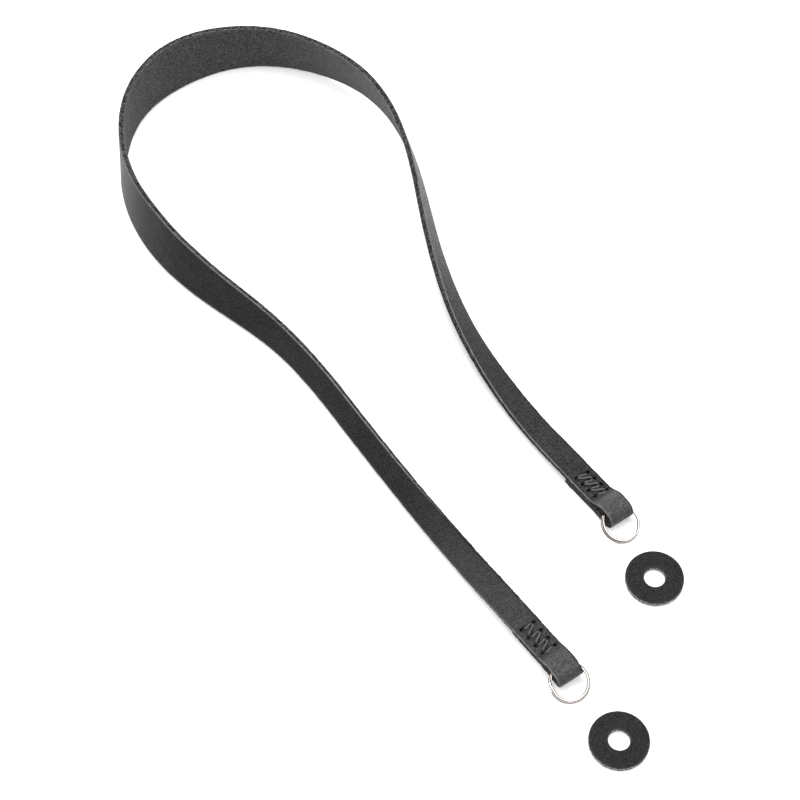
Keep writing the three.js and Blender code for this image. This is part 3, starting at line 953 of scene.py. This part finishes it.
def build_ring(name, end, ring):
    """Two turns of flat wire, one above the other, that change places at the crossover."""
    fold = fold_frame(end, ring["ahead"])
    middle = fold["centre"] + fold["across"] * ring["side"]
    dip = math.radians(ring["tilt"])
    outward = fold["forward"] * math.cos(dip) - fold["grain"] * math.sin(dip)
    normal = fold["grain"] * math.cos(dip) + fold["forward"] * math.sin(dip)
    sideways = np.cross(normal, outward)
    wire_radius = RING_RADIUS - RING_WIRE_WIDTH / 2
    first = RING_CROSSOVER / 2
    last = 720 - RING_CROSSOVER / 2
    angle = 2 * np.pi * np.arange(RING_CORNERS) / RING_CORNERS
    section_out = fuller(np.cos(angle)) * RING_WIRE_WIDTH / 2
    section_up = fuller(np.sin(angle)) * RING_WIRE_HEIGHT * RING_WIRE_FILL / 2
    # painted dark reflection and shade: the wire is tinted where it faces down and along its flanks, more
    # in some places than others
    flank = ramp(np.abs(section_out) * 2 / RING_WIRE_WIDTH, 0.38, 0.73)
    dark_reflection = np.maximum(np.clip(0.5 - section_up / RING_WIRE_HEIGHT * 1.6, 0, 1), flank)
    points, painted_reflection = [], []
    for degrees in np.linspace(first, last, RING_STEPS):
        painted_reflection.append(dark_reflection * (0.78 + 0.22 * math.sin(math.radians(3 * degrees + 40))))
        climb = ramp(degrees, 360 - RING_CROSSOVER / 2, 360 + RING_CROSSOVER / 2) - 0.5
        # slimmer at both cut ends
        taper = min(1.0, (min(degrees - first, last - degrees) + 2.0) / 5.0)
        turn = math.radians(degrees + ring["cut"])
        radial = outward * math.cos(turn) + sideways * math.sin(turn)
        across = wire_radius - RING_SPREAD * climb + section_out * (0.7 + 0.3 * taper)
        height = RING_TURN_PITCH * climb + section_up * (0.6 + 0.4 * taper)
        points.append(across[:, None] * radial + height[:, None] * normal)
    points = np.vstack(points)
    points += np.array([middle[0], middle[1], 0])
    points[:, 2] -= points[:, 2].min()
    faces = [tuple(reversed(f)) for f in tube_faces(RING_STEPS, RING_CORNERS)]
    obj = make_mesh(name, points, faces, [STEEL])
    add_float(obj, "dark_reflection", np.concatenate(painted_reflection))
    return obj


# The washers

def washer_profile():
    """Radius, height and zone: up the hole, over the top, down the side and back underneath."""
    r = WASHER_CORNER
    inner, outer, top = WASHER_HOLE + r, WASHER_RADIUS - r, WASHER_THICK - r
    turns = [math.radians(a) for a in CORNER_ANGLES]
    wall = np.linspace(r, top, 7)
    rows = [(WASHER_HOLE + WASHER_FRAY, z, EDGE_ZONE) for z in wall]
    rows += [(inner - r * math.sin(a), top + r * math.cos(a), GRAIN_ZONE) for a in turns[::-1]]
    rows += [(x, WASHER_THICK, GRAIN_ZONE) for x in np.linspace(inner, outer, 16)]
    rows += [(outer + r * math.sin(a), top + r * math.cos(a), GRAIN_ZONE) for a in turns]
    rows += [(WASHER_RADIUS, z, EDGE_ZONE) for z in wall[::-1]]
    rows += [(x, 0.0, FLESH_ZONE) for x in np.linspace(outer, inner, 8)]
    return np.array(rows)


def build_washer(name, at, seed):
    """A turned disc with frayed cut walls, warped a little."""
    profile = washer_profile()
    count = len(profile)
    turn = 2 * np.pi * np.arange(WASHER_STEPS) / WASHER_STEPS
    fray = np.random.default_rng(seed).standard_normal((WASHER_STEPS, count)) * WASHER_FRAY
    radius = profile[None, :, 0] + np.where(profile[None, :, 2] == EDGE_ZONE, fray, 0)
    height = np.broadcast_to(profile[None, :, 1], radius.shape)
    warp = WASHER_WARP * np.cos(2 * turn + seed)[:, None]
    height = np.where(height > 0, height + warp * (radius / WASHER_RADIUS), height)
    x = at[0] + radius * np.cos(turn)[:, None]
    y = at[1] + radius * np.sin(turn)[:, None]
    points = np.stack([x, y, height], -1).reshape(-1, 3)
    faces, zones = [], []
    for i in range(WASHER_STEPS):
        row, next_row = i * count, (i + 1) % WASHER_STEPS * count
        for j in range(count):
            k = (j + 1) % count
            faces.append((row + k, next_row + k, next_row + j, row + j))
            ends = {profile[j, 2], profile[k, 2]}
            if ends == {EDGE_ZONE}:
                zones.append(EDGE_ZONE)
            else:
                zones.append(FLESH_ZONE if FLESH_ZONE in ends else GRAIN_ZONE)
    obj = make_mesh(name, points, faces, [WASHER, WASHER_EDGE, FLESH], zones)
    to_corner = np.minimum(WASHER_RADIUS - profile[:, 0], profile[:, 0] - WASHER_HOLE)
    # corners paler by rubbing and a painted highlight
    wear = np.where(profile[:, 2] == GRAIN_ZONE, hump(to_corner, 0.35), 0)
    add_float(obj, "rim", np.tile(wear, WASHER_STEPS))
    return obj


strap = build_strap()
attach(strap, "root")
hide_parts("strap")
fuzz = build_fuzz()
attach(fuzz, "root")

for key in ("a", "b"):
    lacing = build_lacing(f"lace_{key}", ENDS[key], LACING[key])
    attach(lacing, "root")
    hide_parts(f"lacing_{key}")
    ring = build_ring(f"ring_{key}", ENDS[key], RINGS[key])
    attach(ring, "root")
    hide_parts(f"split_ring_{key}")
    washer = build_washer(f"disc_{key}", WASHERS[key], 3 + ord(key))
    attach(washer, "root")
    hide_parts(f"washer_{key}")


# Ground, light and camera

def build_floor():
    """A pale floor that comes out white to the camera and shines less on the object."""
    reach = FLOOR_SIZE / 2
    mesh = bpy.data.meshes.new("floor")
    corners = [(-reach, -reach, 0), (reach, -reach, 0), (reach, reach, 0), (-reach, reach, 0)]
    mesh.from_pydata(corners, [], [(0, 1, 2, 3)])
    floor = in_scene("floor", mesh)
    floor.location.z = -FLOOR_GAP
    m = new_material("floor_white")
    seen = m.add("ShaderNodeLightPath").outputs["Is Camera Ray"]
    colour = m.mix(seen, grey(0.52), grey(0.97))
    glow = m.mix(seen, grey(0.0), grey(FLOOR_LIFT))
    mesh.materials.append(m.connect(Base_Color=colour, Roughness=1.0, Specular_IOR_Level=0.0,
                                    Emission_Color=glow, Emission_Strength=1.0))


def build_sky():
    """A bright ceiling over a dark warm horizon, which stands higher in front; white to the camera."""
    world = bpy.data.worlds.new("studio")
    bpy.context.scene.world = world
    w = Nodes(world, "Background")
    toward = w.add("ShaderNodeTexCoord").outputs["Generated"]
    height = w.add("ShaderNodeSeparateXYZ", {0: toward}).outputs["Z"]
    ahead = w.add("ShaderNodeVectorMath", {0: toward, 1: FRONT}, operation="DOT_PRODUCT").outputs["Value"]
    lowered = w.math("MULTIPLY_ADD", w.math("MAXIMUM", ahead, 0.0), -FRONT_SHADE, height)
    rise = w.add("ShaderNodeMapRange", {"Value": lowered, "From Min": SKY_LOW, "From Max": SKY_HIGH},
                 interpolation_type="SMOOTHSTEP").outputs[0]
    seen = w.add("ShaderNodeLightPath").outputs["Is Camera Ray"]
    w.connect(Color=w.mix(seen, w.mix(rise, HORIZON, CEILING), grey(1.0)), Strength=1.0)


def build_key():
    """One soft light, high behind the loop."""
    light = bpy.data.lights.new("key", "AREA")
    light.shape = "RECTANGLE"
    light.size = KEY_SIZE
    light.size_y = KEY_SIZE
    light.energy = KEY_POWER
    key_light = in_scene("key", light)
    key_light.location = KEY_AT
    key_light.rotation_mode = "QUATERNION"
    key_light.rotation_quaternion = (-Vector(KEY_AT)).to_track_quat("-Z", "Y")


def build_camera():
    """The camera that was solved from the photograph."""
    data = bpy.data.cameras.new("camera")
    data.sensor_width = CAMERA_SENSOR
    data.lens = CAMERA_LENS
    data.clip_start, data.clip_end = 0.01, 50
    camera = in_scene("camera", data)
    turn, pitch, roll = (math.radians(v) for v in (CAMERA_TURN, CAMERA_PITCH, CAMERA_ROLL))
    heading = Vector((-math.sin(turn), math.cos(turn), 0))
    level = Vector((math.cos(turn), math.sin(turn), 0))
    forward = heading * math.cos(pitch) - Vector((0, 0, 1)) * math.sin(pitch)
    upward = heading * math.sin(pitch) + Vector((0, 0, 1)) * math.cos(pitch)
    right = level * math.cos(roll) + upward * math.sin(roll)
    top = upward * math.cos(roll) - level * math.sin(roll)
    placed = Matrix((right, top, -forward)).transposed().to_4x4()
    placed.translation = Vector(CAMERA_AT) * MM
    camera.matrix_world = placed
    bpy.context.scene.camera = camera


build_floor()
build_sky()
build_key()
build_camera()
bpy.context.scene.view_settings.view_transform = "Standard"
